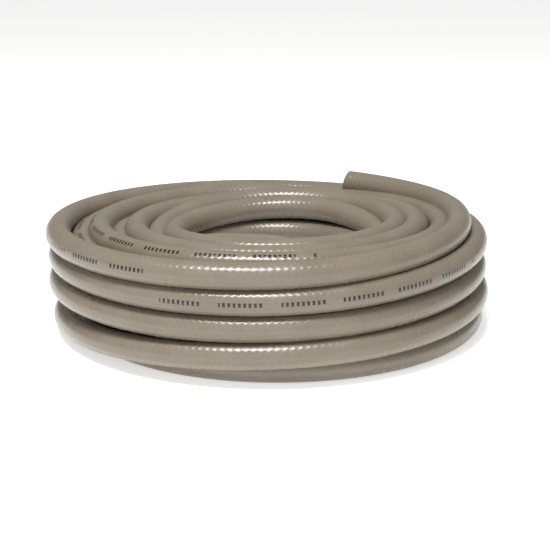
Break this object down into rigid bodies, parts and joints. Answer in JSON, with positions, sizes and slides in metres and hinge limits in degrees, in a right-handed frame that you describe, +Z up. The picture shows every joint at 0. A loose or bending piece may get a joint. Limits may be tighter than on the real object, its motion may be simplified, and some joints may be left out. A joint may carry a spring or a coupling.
{
  "type": "garden hose coil",
  "caption": "Coil of reinforced 13 mm PVC water hose lying flat, with a free end on top and an open centre.",
  "frame": {"origin": "on the resting surface, below the middle of the coil", "axes": "+Z up along the coil's axis; -Y towards the viewer; the free end lies on top at +X +Y"},
  "size_m": [0.3094, 0.3094, 0.0973],
  "materials": {
    "hose_cover": "satin",
    "hose_yarn": "matte",
    "hose_liner": "matte"
  },
  "bodies": {
    "coil": {"coil_body": "hose_cover", "last_turn": "hose_cover", "first_turn": "hose_cover", "inner_end_cover": "hose_cover", "inner_end_reinforcement": "hose_yarn", "inner_end_liner": "hose_liner"},
    "free_end": {"free_end_run": "hose_cover", "free_end_cover": "hose_cover", "free_end_reinforcement": "hose_yarn", "free_end_liner": "hose_liner"}
  },
  "joints": [
    {"name": "free_end_lift", "type": "hinge", "parent": "coil", "child": "free_end", "pos_m": [0.12417, 0.04766, 0.09315], "axis": [0.9336, 0.3584, 0], "range_deg": [0, 35]}
  ]
}
